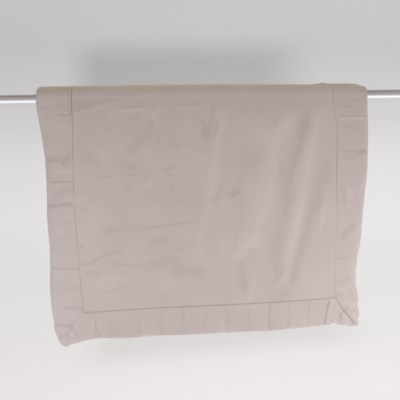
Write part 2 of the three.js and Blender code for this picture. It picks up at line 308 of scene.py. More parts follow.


# How much painted shade each place of the outer and of the inner face gets, with painted light on
# ridges. A ridge of one face is a trough of the other.
def shadesOf(u, drop, lift, relief, groove):
    outside = shading["flat"] - shading["fold"] * lift - shading["crease"] * relief + groove
    outside = outside + strokeHeight(shadeMarks, u, drop)
    inside = shading["flat"] + shading["fold"] * lift + groove
    return np.clip(np.stack([outside, inside]), 0, 1)


# A closed mesh from a grid of outer points and one of inner points: two faces of four-sided
# polygons, and a wall of them round the rim. Each layer is a value at every point.
def clothMesh(name, u, v, outer, inner, **layers):
    rows, columns = u.shape
    count = rows * columns
    number = np.arange(count).reshape(rows, columns)
    a, b, c, d = number[:-1, :-1], number[:-1, 1:], number[1:, 1:], number[1:, :-1]
    faces = [np.stack([a, b, c, d], -1).reshape(-1, 4)]
    faces.append(np.stack([a, d, c, b], -1).reshape(-1, 4) + count)
    rim = np.concatenate([number[0, :-1], number[:-1, -1], number[-1, :0:-1], number[:0:-1, 0]])
    nextOne = np.roll(rim, -1)
    faces.append(np.stack([nextOne, rim, rim + count, nextOne + count], -1))
    quads = np.concatenate(faces)
    points = np.concatenate([outer.reshape(-1, 3), inner.reshape(-1, 3)])

    mesh = bpy.data.meshes.new(name)
    mesh.vertices.add(len(points))
    mesh.vertices.foreach_set("co", points.astype(np.float32).ravel())
    mesh.loops.add(quads.size)
    mesh.loops.foreach_set("vertex_index", quads.astype(np.int32).ravel())
    mesh.polygons.add(len(quads))
    mesh.polygons.foreach_set("loop_start", np.arange(0, quads.size, 4, dtype=np.int32))
    mesh.polygons.foreach_set("use_smooth", np.ones(len(quads), bool))
    mesh.update(calc_edges=True)

    flat = np.stack([u.ravel(), v.ravel()], -1) * mm
    flat = np.concatenate([flat, flat + (1, 0)])       # the inner face's map lies beside the outer's
    clothMap = mesh.uv_layers.new(name="cloth")
    clothMap.data.foreach_set("uv", flat[quads.ravel()].astype(np.float32).ravel())
    for key, values in layers.items():
        layer = mesh.attributes.new(key, "FLOAT", "POINT")
        onBoth = np.broadcast_to(values, (2, rows, columns)).astype(np.float32)
        layer.data.foreach_set("value", onBoth.ravel())
    mesh.validate()
    return addObject(name, mesh)


# Places from one value to another, in steps of about the given size.
def evenPlaces(start, end, step):
    return np.linspace(start, end, max(int(round(abs(end - start) / step)), 1) + 1)


panel = {
    "thickness": 12.5,
    "seamThickness": 10.2,
    "seamRound": 3.5,
    "seamRows": (0, 0.1, 0.28, 0.6),    # shares of seamRound, close together where it rounds over
    "seamLip": 0.5,         # how far the cloth stands up beside the seam
    "columnStep": 3.2,
    "frontStep": 2.9,
    "bendStep": 3.5,
    "backStep": 6,
}

# Creases of the front, on its outer face only: from (u, drop) to (u, drop), widths and height as
# for the folds. A width of 2 or 3 is a sharp crease, and 8 or more a soft one.
creases = [
    # beside the rail
    (190, 27, 256, 23, 4, 1.8, 0.5), (198, 23, 250, 19.5, 1.8, 2.2, -0.4),
    (320, 23, 374, 23, 3.5, 1.8, 0.5), (322, 19, 350, 19, 1.8, 2.2, -0.4),
    (235, 43, 262, 44, 2.4, 2.2, 0.3), (280, 44, 303, 44, 2.2, 2.2, -0.3),
    (307, 58, 353, 59, 2.4, 2.2, 0.32), (380, 17, 398, 15, 2.4, 2.2, 0.4),
    (256, 31, 269, 39, 2.4, 2.4, 0.3), (269, 39, 284, 30, 2.4, 2.4, 0.3), (268, 40, 273, 58, 3, 3, 0.5),
    (88, 34, 130, 22, 6, 4, 0.5), (130, 22, 190, 8, 7, 4, 0.5), (404, 20, 398, 44, 4, 4, -0.6),
    (414, 62, 408, 84, 4, 4, -0.6), (392, 48, 388, 62, 4, 4, 0.5),
    # the left half
    (141, 185, 166, 184, 3, 1.8, 0.4), (141, 181, 166, 180, 1.8, 2.2, -0.45),
    (166, 182, 199, 177, 5, 3, 0.2), (199, 179, 231, 177, 3.5, 1.8, 0.5),
    (199, 175, 231, 173, 1.8, 2.4, -0.6), (287, 165, 312, 154, 3, 3, -0.6),
    (291, 169, 305, 177, 3, 2.6, -0.6), (305, 177, 330, 186, 6, 4, -0.3),
    (313, 102, 319, 107, 4, 4, -0.7), (329, 115, 347, 122, 2.6, 2.2, 0.5),
    (347, 122, 392, 146, 6, 5, 0.3), (196, 202, 214, 203, 5, 4, -0.5), (238, 208, 264, 188, 6, 6, 0.4),
    (300, 200, 312, 216, 6, 6, -0.4), (84, 231, 105, 231, 2.5, 2.5, 0.4),
    (105, 231, 125, 248, 2.5, 2.5, 0.4), (125, 249, 88, 262, 3, 2.5, -0.3),
    (141, 304, 165, 303, 4, 2.6, -0.5), (165, 303, 239, 299, 5, 4, -0.25),
    (239, 299, 290, 293, 4.5, 3.2, -0.55), (290, 293, 344, 285, 4.5, 3.2, -0.45),
    (344, 285, 368, 281, 5, 4, -0.3), (86, 322, 100, 316, 5, 4, 0.5), (84, 346, 96, 336, 5, 4, -0.5),
    (85, 383, 113, 379, 5, 3.5, -0.5), (113, 379, 132, 365, 5, 3.5, -0.5),
    (132, 365, 185, 349, 6, 4, -0.45), (160, 381, 196, 385, 4, 3, -0.45),
    (196, 385, 232, 387, 4, 3, -0.45), (232, 387, 268, 371, 6, 5, -0.3),
    (141, 452, 170, 440, 4, 3, -0.4), (170, 440, 203, 431, 4, 3, -0.4),
    (250, 330, 300, 322, 8, 6, -0.3), (90, 404, 130, 410, 8, 6, -0.3), (310, 350, 372, 342, 8, 7, -0.3),
    (300, 404, 380, 400, 8, 7, -0.3),
    # the left strip
    (13, 17, 66, 16, 2.6, 2.2, -0.35), (51, 35, 82, 34, 2.6, 2.2, -0.6),
    (36, 61, 73, 61, 2.2, 2.0, 0.6), (22, 134, 48, 132, 9, 8, -0.9), (58, 150, 72, 128, 6, 6, -0.8),
    (43, 162, 78, 162, 2.4, 2.2, 0.6), (30, 187, 76, 186, 3, 2.4, -0.5), (28, 214, 78, 206, 6, 6, -0.4),
    (20, 244, 44, 240, 5, 3, -0.6), (44, 240, 77, 237, 5, 3, -0.6), (27, 267, 74, 266, 2.6, 2.4, 0.4),
    (28, 324, 84, 319, 4, 3, -0.35), (24, 398, 84, 397, 5, 4, 0.4), (40, 485, 64, 484, 4, 3, -0.5),
    (64, 484, 87, 492, 4, 3, -0.5),
    # the left corner
    (21, 526, 36, 531, 2.6, 2.4, -0.9), (36, 531, 57, 531, 2.6, 2.4, -0.9),
    (57, 531, 52, 543, 3, 3, -0.6), (52, 543, 41, 554, 3, 3, -0.7), (41, 554, 51, 565, 3, 3, -0.6),
    (60, 541, 67, 553, 3, 3, -0.6), (67, 553, 73, 565, 3, 3, -0.6), (32, 542, 50, 537, 5, 5, 0.6),
    (50, 556, 58, 548, 5, 5, 0.5), (111, 523, 113, 536, 3, 3, -0.5), (113, 536, 120, 561, 3, 4, -0.6),
    (104, 520, 107, 540, 4, 4, 0.4),
    # the right strip
    (721, 8, 745, 8, 2.6, 2.2, -0.5), (711, 25, 734, 25, 2.4, 2.2, -0.4),
    (715, 30, 733, 30, 2.4, 2, 0.35), (698, 52, 758, 53, 2.0, 1.8, 1.3),
    (713, 73, 728, 73, 2.4, 2.2, -0.4), (738, 128, 750, 127, 5, 5, -1.2),
    (694, 154, 724, 153, 2.4, 2.4, 0.42), (693, 199, 706, 223, 5, 6, -0.5),
    (706, 223, 702, 255, 6, 5, -0.5), (712, 210, 722, 240, 6, 6, 0.5), (700, 330, 728, 300, 9, 9, -0.6),
    (692, 378, 718, 379, 3, 2.4, -0.5), (698, 438, 724, 432, 4, 4, -0.4),
    (704, 452, 716, 470, 4, 4, 0.5),
    # the right corner
    (674, 485, 667, 508, 2.2, 2.2, -1.3), (667, 508, 663, 541, 2.2, 2.2, -1.3),
    (678, 488, 670, 538, 4, 4, 0.5), (675, 527, 685, 534, 3, 3, -0.6),
    (695, 490, 709, 507, 2.4, 2.4, -0.5), (709, 507, 737, 540, 2.2, 2.2, -1.1),
    (692, 494, 706, 514, 4, 4, 0.6), (706, 514, 722, 534, 4, 4, 0.4),
    (721, 497, 709, 508, 2.4, 2.4, -0.8), (709, 508, 703, 516, 3, 3, -0.5),
    (703, 515, 700, 534, 2.4, 2.4, -1.1), (686, 471, 708, 466, 3, 2.6, -0.7),
    (712, 484, 730, 500, 6, 6, 0.5), (728, 534, 735, 545, 3, 3, -0.7), (740, 498, 746, 500, 4, 4, -0.8),
]

# Small seeded creases, so that no part is quite even.
uneven = {
    "count": 210, "seed": 11,
    "across": (4, 756), "drop": (14, 575),
    "level": 4, "steep": 108, "stray": 16,      # degrees
    "steepFrom": (330, 450), "steepTo": (670, 700),     # they turn steep and level again there
    "length": (16, 60), "width": (4, 11), "height": (0.08, 0.22),
}


# As the drawn ones are, they are level on the left, and steep on the right.
def scatter():
    dice = np.random.default_rng(uneven["seed"])
    count = uneven["count"]
    u = dice.uniform(*uneven["across"], count)
    drop = dice.uniform(*uneven["drop"], count)
    (start, full), (fading, end) = uneven["steepFrom"], uneven["steepTo"]
    steep = softStep((u - start) / (full - start)) * softStep((end - u) / (end - fading))
    stray = dice.normal(0, uneven["stray"], count)
    angle = np.radians(mix(uneven["level"], uneven["steep"], steep) + stray)
    length = dice.uniform(*uneven["length"], count)
    width = dice.uniform(*uneven["width"], (count, 2))
    tall = dice.choice([-1, 1], count) * dice.uniform(*uneven["height"], count)
    toU, toDrop = u + length * np.cos(angle), drop + length * np.sin(angle)
    return np.stack([u, drop, toU, toDrop, width[:, 0], width[:, 1], tall], -1).tolist()


frontRelief = creases + scatter()


# The panel's places (u, v): columns from seam to seam, and rows from the front seam over the rail
# to the back seam.
def panelGrid():
    half = blanket["seamGap"] / 2
    left, right = blanket["left"] + half, blanket["width"] - blanket["right"] - half
    front, back = blanket["front"] + half, blanket["length"] - blanket["back"] - half
    seam = panel["seamRound"]
    edge = seam * np.array(panel["seamRows"])
    columns = np.concatenate([
        left + edge, evenPlaces(left + seam, right - seam, panel["columnStep"]), right - edge[::-1],
    ])
    start, end = hanging["overRail"], hanging["overRail"] + bendLength
    rows = np.concatenate([
        front + edge, evenPlaces(front + seam, start, panel["frontStep"]),
        evenPlaces(start, end, panel["bendStep"])[1:-1],
        evenPlaces(end, back - seam, panel["backStep"]), back - edge[::-1],
    ])
    return np.meshgrid(columns, rows)


# How deep the seams are, down each side at each drop, and along the front and the back.
seamDepth = {
    "drop": [-10, 40, 70, 95, 150, 230, 300, 420, 480],
    "left": [0.9, 0.9, 0.9, 0.9, 0.8, 0.6, 0.6, 0.6, 0.7],
    "right": [0.25, 0.2, 0.3, 0.9, 0.9, 0.8, 0.3, 0.2, 0.5],
    "front": 1.3, "back": 1.0,
}

# A seam's dark line is painted shade in its ditch.
seamLook = {
    "line": 0.8, "lineWidth": 0.9,      # the dark line of a seam
    "lipAway": 5, "lipWidth": 3.5,      # the low lips beside it
}


# Each seam's distance and depth at (u, v).
def seamsNear(u, v, drop):
    return [
        (u - blanket["left"], alongTable(seamDepth, "drop", "left", drop)),
        (blanket["width"] - blanket["right"] - u, alongTable(seamDepth, "drop", "right", drop)),
        (v - blanket["front"], seamDepth["front"]),
        (blanket["length"] - blanket["back"] - v, seamDepth["back"]),
    ]


# Painted shade in a seam's ditch: a bell curve across it, wider where the seam is deep.
def seamShade(u, v, drop):
    return sum(seamLook["line"] * depth * bell(distance, seamLook["lineWidth"] + depth)
               for distance, depth in seamsNear(u, v, drop))


# The lip beside a seam: a bell curve a little way off it.
def lipShare(distance):
    return bell(distance - seamLook["lipAway"], seamLook["lipWidth"])


# Full thickness in the middle, rounding down at the seams, and a low lip beside the side seams.
def panelThickness(u, v, drop):
    thinner, lip = 0, 0
    for i, (distance, depth) in enumerate(seamsNear(u, v, drop)):
        thinner = np.maximum(thinner, depth * (1 - padded(distance, panel["seamRound"])))
        lip = lip + (panel["seamLip"] if i < 2 else 0) * depth * lipShare(distance)
    return panel["thickness"] + lip - (panel["thickness"] - panel["seamThickness"]) * thinner


def makePanel():
    u, v = panelGrid()
    drop = strokeDrop(u, v)
    thickness = panelThickness(u, v, drop)
    relief = strokeHeight(frontRelief, u, drop)
    outer, inner, lift = clothFaces(u, v, thickness, relief)
    shades = shadesOf(u, drop, lift, relief, seamShade(u, v, drop))
    return clothMesh("panel", u, v, outer, inner, crease=shades)


strip = {
    "thickness": 12.5,
    "groove": 3,            # how much thinner it is along a groove of full depth
    "seamThickness": 10.2,
    "seamLip": 0.4,
    "edgeThickness": 3,
    "seamRound": 3.5,
    "edgeRound": 9,
    "mitreThickness": 10,   # where a mitre is at its deepest
    "mitreGap": 0.1,        # between the two strips that meet there
    "mitreBow": {"left": 1.3, "right": 1.9},    # how the front mitres hang: 1 is straight
    "mitreDepth": {"left": 0.15, "right": 0.8, "behind": 1},
    "mitreRound": 4,
    "mitreReach": 96,       # how far from a corner the rows start to slant towards the mitre
    "edgeRows": (0, 0.3, 0.9, 2, 3.6), "seamRows": (4.4, 2.8, 1.6, 0.7, 0.2, 0),
    "rowsEvenFrom": 5.5,    # and even rows between those
    "acrossStep": 2.4,
    "cornerStep": 2.4,
    "cellSteps": 22,
    "crowding": 0.7,        # how much closer the steps are at a groove
    "channelClear": 4,      # no groove gets its own steps nearer to a corner's rows
    "thread": 0.8,          # half the width of a stitched line
    "threadFull": 1.8,      # how soon a line's thread is fully out as its depth grows
}
mitreSlack = strip["mitreGap"] / 2 * math.sqrt(2)      # half the gap, along a strip

# The stitched channels of each strip: where each crosses the strip's middle, how far it leans over
# the strip's width, its depth from 0 to 1, and how wide its shoulders are.
sideChannels = {
    "left": [
        (44, 0, 0.4, 8), (81, 0, 0.35, 9), (126, 0, 0.5, 11), (172, -3, 0.55, 11), (220, 0, 0.15, 12),
        (269, 0, 0.12, 14), (320, 5, 0.55, 12), (369.5, 0, 0.35, 9), (420, 0, 0.25, 12), (470, 0, 0.1, 10),
        (519, 0, 0.12, 8), (569, 0, 0.5, 9), (620, 0, 0.5, 9), (670, 2, 0.8, 8), (720, 0, 0.7, 8),
        (771, -2, 0.8, 8), (821, 0, 0.7, 8), (871, 1, 0.8, 8), (921, 0, 0.8, 8), (971, 0, 0.7, 8),
    ],
    "right": [
        (38, 0, 0.3, 8), (74, 3, 0.35, 9), (112, 0, 0.25, 12), (164, 0, 0.3, 10), (216, 0, 0.12, 14),
        (267, 0, 0.12, 14), (319, 0, 0.12, 14), (371, 0, 0.12, 12), (423, 0, 0.45, 8), (480, 0, 0.15, 9),
        (526, 0, 0.05, 8), (577, 0, 0.5, 9), (627, 0, 0.5, 9), (678, -2, 0.7, 8), (728, 0, 0.8, 8),
        (778, 1, 0.8, 8), (829, 0, 0.7, 8), (879, 2, 0.8, 8), (929, 0, 0.7, 8), (974, 0, 0.7, 8),
    ],
}
endChannels = {
    "front": [
        (112, 6, 0.35, 10), (159, 0, 0.35, 20), (221, 0, 0.4, 22), (273, 0, 0.4, 20), (326, 0, 0.35, 14),
        (378, 0, 0.45, 10), (428, 0, 0.45, 9), (481, 0, 0.4, 12), (531, 0, 0.8, 8), (577, 2, 0.45, 9),
        (625, 5, 0.55, 9), (667, 12, 0.9, 7), (702, 4, 0.5, 6),
    ],
    "back": [
        (76, 3, 0.7, 8), (126, 0, 0.8, 8), (177, 0, 0.7, 9), (227, 1, 0.8, 8), (277, 0, 0.6, 10),
        (327, 0, 0.8, 8), (377, -2, 0.8, 8), (427, 0, 0.7, 9), (478, 0, 0.8, 8), (528, 2, 0.7, 8),
        (578, 0, 0.8, 8), (628, 0, 0.7, 9), (678, -3, 0.8, 8),
    ],
}


# Places between grooves, close together at each groove and wider apart between: t less a sine.
def channelPlaces(start, end, grooves, steps):
    clear = strip["channelClear"]
    lines = [start, *[at for at in grooves if start + clear < at < end - clear], end]
    t = np.arange(steps) / steps
    eased = t - strip["crowding"] * np.sin(2 * math.pi * t) / (2 * math.pi)
    cells = [a + (b - a) * eased for a, b in zip(lines, lines[1:])]
    return np.concatenate([*cells, [end]])


# How far each place is from a channel's line, along the strip.
def fromChannel(along, share, at, lean):
    return along - at - lean * (share - 0.5)


# How deep in a groove each place is: 1 on the stitching line and a quarter round up to its
# shoulders.
def grooveShare(along, share, channels):
    deepest = np.zeros_like(along)
    for at, lean, depth, reach in channels:
        distance = np.abs(fromChannel(along, share, at, lean))
        deepest = np.maximum(deepest, depth * (1 - padded(distance, reach)))
    return deepest


# How near a stitched line each place is: a bell curve across each line, lower where the line
# is shallow and its thread has sunk in.
def stitchShare(along, share, channels):
    nearest = np.zeros_like(along)
    for at, lean, depth, _ in channels:
        line = bell(fromChannel(along, share, at, lean), strip["thread"])
        nearest = np.maximum(nearest, min(strip["threadFull"] * depth, 1) * line)
    return nearest


# A strip's thickness: full in the middle of a cell, less along a groove, and rounding down to the
# seam, to the mitres and to the edge.
def stripThickness(edge, seam, mitre, mitreDepth, groove, depth):
    full = strip["thickness"] - strip["groove"] * groove
    full = full + strip["seamLip"] * depth * lipShare(seam)
    seamThickness = mix(strip["thickness"], strip["seamThickness"], depth)
    toSeam = mix(np.minimum(seamThickness, full), full, padded(seam, strip["seamRound"]))
    mitreThickness = mix(strip["thickness"], strip["mitreThickness"], mitreDepth)
    toMitre = mix(np.minimum(mitreThickness, full), full, padded(mitre, strip["mitreRound"]))
    toEdge = mix(strip["edgeThickness"], full, padded(edge, strip["edgeRound"]))
    return np.minimum(np.minimum(toSeam, toMitre), toEdge)


# The distance to a mitre, which runs from the blanket's corner to the seams' corner: on it the
# share of the way along the end strip's width is the share of the side strip's, to the power bow.
def fromMitre(fromSide, side, fromEnd, end, bow=1):
    return np.abs(fromEnd - end * np.clip(fromSide / side, 0, 2) ** bow) * side / math.hypot(side, end)


# Places along a strip, leaning as its channels do, and near its ends sliding onto the mitres.
def slantedPlaces(along, share, channels, length, startMitre, endMitre):
    lean = np.interp(along, [0, *[row[0] for row in channels], length],
                     [0, *[row[1] for row in channels], 0])
    at = along + lean * (share - 0.5)
    reach = strip["mitreReach"]
    fromEnd = length - at
    near = mix(startMitre + mitreSlack, reach, at / reach)
    far = length - mix(endMitre + mitreSlack, reach, fromEnd / reach)
    return np.where(at < reach, near, np.where(fromEnd < reach, far, at))


# Places across a strip, from its edge to its seam, close together where it rounds over.
def acrossPlaces(width):
    even = strip["rowsEvenFrom"]
    return np.concatenate([
        strip["edgeRows"], evenPlaces(even, width - even, strip["acrossStep"]),
        width - blanket["seamGap"] / 2 - np.array(strip["seamRows"]),
    ])


# Places along a strip: even ones near its corners, and those of its channels between.
def alongPlaces(length, channels):
    reach = strip["mitreReach"]
    corner = evenPlaces(0, reach, strip["cornerStep"])
    middle = channelPlaces(reach, length - reach, [row[0] for row in channels], strip["cellSteps"])
    return np.concatenate([corner[:-1], middle, length - corner[-2::-1]])


# The thread layer is the distance along the stitched lines.
def stripMesh(name, u, v, thickness, groove, stitch, thread):
    drop = strokeDrop(u, v)
    relief = strokeHeight(frontRelief, u, drop)
    outer, inner, lift = clothFaces(u, v, thickness, relief)
    shades = shadesOf(u, drop, lift, relief, shading["groove"] * groove)
    return clothMesh(name, u, v, outer, inner, crease=shades, stitch=stitch, thread=thread * mm)


# A strip down the left or the right side. Its grid is turned round on the right, so that its faces
# point outwards.
def makeSideStrip(name, side):
    width, length = blanket[side], blanket["length"]
    channels = sideChannels[side]
    bow = strip["mitreBow"][side]
    fromEdge, along = np.meshgrid(acrossPlaces(width), alongPlaces(length, channels))
    share = fromEdge / width
    v = slantedPlaces(along, share, channels, length,
                      blanket["front"] * share ** bow, blanket["back"] * share)
    mitre = np.minimum(fromMitre(fromEdge, width, v, blanket["front"], bow),
                       fromMitre(fromEdge, width, length - v, blanket["back"]))
    mitreDepth = np.where(v < length / 2, strip["mitreDepth"][side], strip["mitreDepth"]["behind"])
    groove = grooveShare(v, share, channels)
    u = fromEdge if side == "left" else blanket["width"] - fromEdge
    depth = alongTable(seamDepth, "drop", side, strokeDrop(u, v))
    thickness = stripThickness(fromEdge, width - fromEdge, mitre, mitreDepth, groove, depth)
    stitch = stitchShare(v, share, channels)
    if side == "right":
        u, v, thickness, groove, stitch = [a[:, ::-1] for a in (u, v, thickness, groove, stitch)]
    return stripMesh(name, u, v, thickness, groove, stitch, u)


# A strip along the front or the back hem.
def makeEndStrip(name, end):
    width, length = blanket[end], blanket["width"]
    channels = endChannels[end]
    bows = [strip["mitreBow"][side] if end == "front" else 1 for side in ("left", "right")]
    depths = [strip["mitreDepth"][side if end == "front" else "behind"] for side in ("left", "right")]
    along, fromHem = np.meshgrid(alongPlaces(length, channels), acrossPlaces(width))
    share = fromHem / width
    u = slantedPlaces(along, share, channels, length,
                      blanket["left"] * share ** (1 / bows[0]), blanket["right"] * share ** (1 / bows[1]))
    mitre = np.minimum(fromMitre(u, blanket["left"], fromHem, width, bows[0]),
                       fromMitre(length - u, blanket["right"], fromHem, width, bows[1]))
    mitreDepth = np.where(u < length / 2, *depths)
    groove = grooveShare(u, share, channels)
    thickness = stripThickness(fromHem, width - fromHem, mitre, mitreDepth, groove, seamDepth[end])
    v = fromHem if end == "front" else blanket["length"] - fromHem
    stitch = stitchShare(u, share, channels)
    if end == "back":
        u, v, thickness, groove, stitch = [a[::-1] for a in (u, v, thickness, groove, stitch)]
    return stripMesh(name, u, v, thickness, groove, stitch, v)


# Sets a node's inputs: another node's output is linked, and anything else is its value.
def setInputs(tree, node, feeds):
    for key, value in feeds.items():
        if isinstance(value, bpy.types.NodeSocket):
            tree.links.new(value, node.inputs[key])
        else:
            node.inputs[key].default_value = value


def addNode(tree, kind, place, feeds=(), **values):
    node = tree.nodes.new("ShaderNode" + kind)
    node.location = place
    for key, value in values.items():
        setattr(node, key, value)
    setInputs(tree, node, dict(feeds))
    return node


# Arithmetic on one, two or three values.
def calculate(tree, operation, place, *values):
    return addNode(tree, "Math", place, enumerate(values), operation=operation).outputs["Value"]


# A colour ramp between rows of a place and a colour.
def addRamp(tree, place, along, rows):
    node = addNode(tree, "ValToRGB", place, {"Fac": along})
    stops = node.color_ramp.elements
    for i, (at, colour) in enumerate(rows):
        stop = stops[0] if i == 0 else stops[-1] if i == len(rows) - 1 else stops.new(at)
        stop.position, stop.color = at, (*colour[:3], 1)
    return node.outputs["Color"]


def newMaterial(name, feeds):
    made = bpy.data.materials.new(name)
    made.use_nodes = True
    surface = made.node_tree.nodes["Principled BSDF"]
    setInputs(made.node_tree, surface, feeds)
    return made, made.node_tree, surface


clothFinish = {
    "panel": (0.462, 0.391, 0.367),
    "strip": (0.462, 0.390, 0.367),
    "threadsPerMetre": 900,
    "threadWaver": 1.5,
    "weaveBump": 0.10,
    "stitchBump": 0.5,
    "bumpHeight": 0.0006,
    "slub": 0.8, "slubScale": 160,
    "mottle": 0.02, "mottleScale": 14,
    # painted light on a ridge and painted shade in a trough, as factors on the colour
    "ridgeLight": (1.06, 1.058, 1.055),
    "troughShade": (0.91, 0.905, 0.90),
    "roughness": 0.92,
    "shine": 0.25,
    "sheen": 0.12, "sheenRoughness": 0.6,
    "stitchLength": 0.0034,
    # painted shade in the holes between stitches
    "holeShade": 0.88,           # between stitches
    "hole": (-0.8, -0.3),       # a hole is full where the stitches' sine is below the first
}


# Matt woven cloth. The weave is a wave across the cloth times a wave along it, slubs are noise, and
# the colour is faintly mottled, with painted shade and light from the crease-shade layer.
def clothMaterial(name, tone, stitched):
    finish = clothFinish
    made, tree, surface = newMaterial(name, {
        "Roughness": finish["roughness"], "Specular IOR Level": finish["shine"],
        "Sheen Weight": finish["sheen"], "Sheen Roughness": finish["sheenRoughness"],
    })
    flat = addNode(tree, "UVMap", (-1400, 0), uv_map="cloth").outputs["UV"]
    warp, weft = [
        addNode(tree, "TexWave", (-1000, low), {
            "Vector": flat, "Scale": finish["threadsPerMetre"] * math.pi / 10,
            "Distortion": finish["threadWaver"], "Detail": 1.0, "Detail Scale": 0.15,
        }, wave_type="BANDS", bands_direction=direction).outputs["Fac"]
        for direction, low in (("X", -200), ("Y", -500))
    ]
    weave = calculate(tree, "MULTIPLY", (-780, -350), warp, weft)
    slub = addNode(tree, "TexNoise", (-1000, -800),
                   {"Vector": flat, "Scale": finish["slubScale"], "Detail": 3}).outputs["Fac"]
    nap = calculate(tree, "MULTIPLY_ADD", (-780, -700), slub, finish["slub"], weave)
    normal = addNode(tree, "Bump", (-500, -500), {
        "Strength": finish["weaveBump"], "Distance": finish["bumpHeight"], "Height": nap,
    }).outputs["Normal"]

    patches = addNode(tree, "TexNoise", (-1000, 300),
                      {"Vector": flat, "Scale": finish["mottleScale"], "Detail": 4}).outputs["Fac"]
    low, high = [tuple(part * (1 + sign * finish["mottle"]) for part in tone) for sign in (-1, 1)]
    mottle = addRamp(tree, (-780, 300), patches, [(0.3, low), (0.7, high)])
    # Painted shade and light: darker in troughs, creases, grooves and seams, lighter on ridges.
    crease = addNode(tree, "Attribute", (-1000, 600), attribute_name="crease").outputs["Fac"]
    paintedDark = addRamp(tree, (-780, 600), crease, [(0, finish["ridgeLight"]), (1, finish["troughShade"])])
    colour = addNode(tree, "Mix", (-400, 300), {"Factor": 1, "A": mottle, "B": paintedDark},
                     data_type="RGBA", blend_type="MULTIPLY").outputs["Result"]
    if stitched:
        colour, normal = addStitches(tree, colour, normal)
    setInputs(tree, surface, {"Base Color": colour, "Normal": normal})
    return made


# Stitches along the strips' lines: each stands up a little, with painted shade in the hole at either end.
def addStitches(tree, colour, normal):
    finish = clothFinish
    line = addNode(tree, "Attribute", (-1000, 1100), attribute_name="stitch").outputs["Fac"]
    thread = addNode(tree, "Attribute", (-1000, 900), attribute_name="thread").outputs["Fac"]
    turns = calculate(tree, "MULTIPLY", (-780, 900), thread, 2 * math.pi / finish["stitchLength"])
    wave = calculate(tree, "SINE", (-600, 900), turns)
    hole = addNode(tree, "MapRange", (-400, 900), {
        "Value": wave, "From Min": finish["hole"][0], "From Max": finish["hole"][1],
        "To Min": 1, "To Max": 0,
    }, interpolation_type="SMOOTHSTEP").outputs["Result"]
    paintedDark = calculate(tree, "MULTIPLY", (-200, 1000), line, hole)
    raised = calculate(tree, "SUBTRACT", (-200, 800), line, paintedDark)
    tone = addNode(tree, "MapRange", (0, 1000),
                   {"Value": paintedDark, "To Min": 1, "To Max": finish["holeShade"]}).outputs["Result"]
    toned = addNode(tree, "VectorMath", (200, 900), {0: colour, "Scale": tone}, operation="SCALE")
    bump = addNode(tree, "Bump", (0, 700), {
        "Strength": finish["stitchBump"], "Distance": finish["bumpHeight"],
        "Height": raised, "Normal": normal,
    })
    return toned.outputs["Vector"], bump.outputs["Normal"]


chromeFinish = {
    "colour": (0.72, 0.72, 0.73, 1),
    "roughness": (0.06, 0.13),
    "smudgeScale": 35,
}


# Polished metal with faint smudges.
def chromeMaterial():
    made, tree, surface = newMaterial("rail chrome", {"Metallic": 1, "Base Color": chromeFinish["colour"]})
    place = addNode(tree, "TexCoord", (-900, 0)).outputs["Object"]
    smudge = addNode(tree, "TexNoise", (-700, 0),
                     {"Vector": place, "Scale": chromeFinish["smudgeScale"], "Detail": 5}).outputs["Fac"]
    smooth, rough = chromeFinish["roughness"]
    spread = addNode(tree, "MapRange", (-450, 0), {"Value": smudge, "To Min": smooth, "To Max": rough})
    setInputs(tree, surface, {"Roughness": spread.outputs["Result"]})
    return made


stage = {
    "floor": -1.15,
    "wall": 3.4,            # how far behind the rail
    "sweep": 1.2,           # radius between floor and wall
    "top": 3.2,
    "front": -5.0,
    "left": -6.0, "right": 7.0,
    "colour": (0.50, 0.495, 0.495, 1),
    # the backdrop glows, a painted light, and glows more per metre to the right
    "glow": 1.0,
    "glowRise": 0.033,      # how much paler per metre to the right
    "glowTint": (1, 0.975, 0.99),
    # the painted soft shadows on the floor and the wall: how dark, how they lean towards the right, and
    # where each starts, is full, starts to fade and ends, in x and in y or z
    "floorShadow": (0.18, -0.16, (-0.20, 0.10, 1.15, 1.55), (0.98, 1.32, 1.9, 2.4)),
    "wallShadow": (0.50, 0.0, (-0.73, -0.33, 1.05, 1.75), (-0.6, -0.2, 0.66, 0.97)),
    # height, and how bright the painted glow is there
    "glowRows": [(-1.15, 0.515), (-0.70, 0.525), (-0.25, 0.46), (0.15, 0.345), (0.80, 0.27),
                 (1.30, 0.29)],
}


# Floor, quarter round and wall in one sheet: a profile in y and z, carried straight along x.
def makeBackdrop():
    angle = np.linspace(0, math.pi / 2, 25)
    radius = stage["sweep"]
    sweep = stage["wall"] - radius + radius * np.sin(angle)
    y = np.concatenate([[stage["front"]], sweep, [stage["wall"]]])
    z = np.concatenate([[0], radius * (1 - np.cos(angle)), [stage["top"] - stage["floor"]]])
    z = z + stage["floor"]
    x = np.array([stage["left"], stage["right"]])
    points = np.stack(np.broadcast_arrays(x[None, :], y[:, None], z[:, None]), -1).reshape(-1, 3)
    number = np.arange(len(points)).reshape(-1, 2)
    quads = np.stack([number[:-1, 0], number[:-1, 1], number[1:, 1], number[1:, 0]], -1)
    mesh = bpy.data.meshes.new("backdrop")
    mesh.from_pydata(points.tolist(), [], quads.tolist())
    mesh.polygons.foreach_set("use_smooth", np.ones(len(quads), bool))
    mesh.materials.append(backdropMaterial())
    addObject("backdrop", mesh)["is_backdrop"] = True


# A soft step up times a soft step down again, of one node's output.
def softBand(tree, output, edges, place):
    up, down = [
        addNode(tree, "MapRange", (place[0], place[1] - 260 * i), {
            "Value": output, "From Min": edges[2 * i], "From Max": edges[2 * i + 1],
            "To Min": i, "To Max": 1 - i,
        }, interpolation_type="SMOOTHSTEP").outputs["Result"]
        for i in range(2)
    ]
    return calculate(tree, "MULTIPLY", (place[0] + 200, place[1]), up, down)
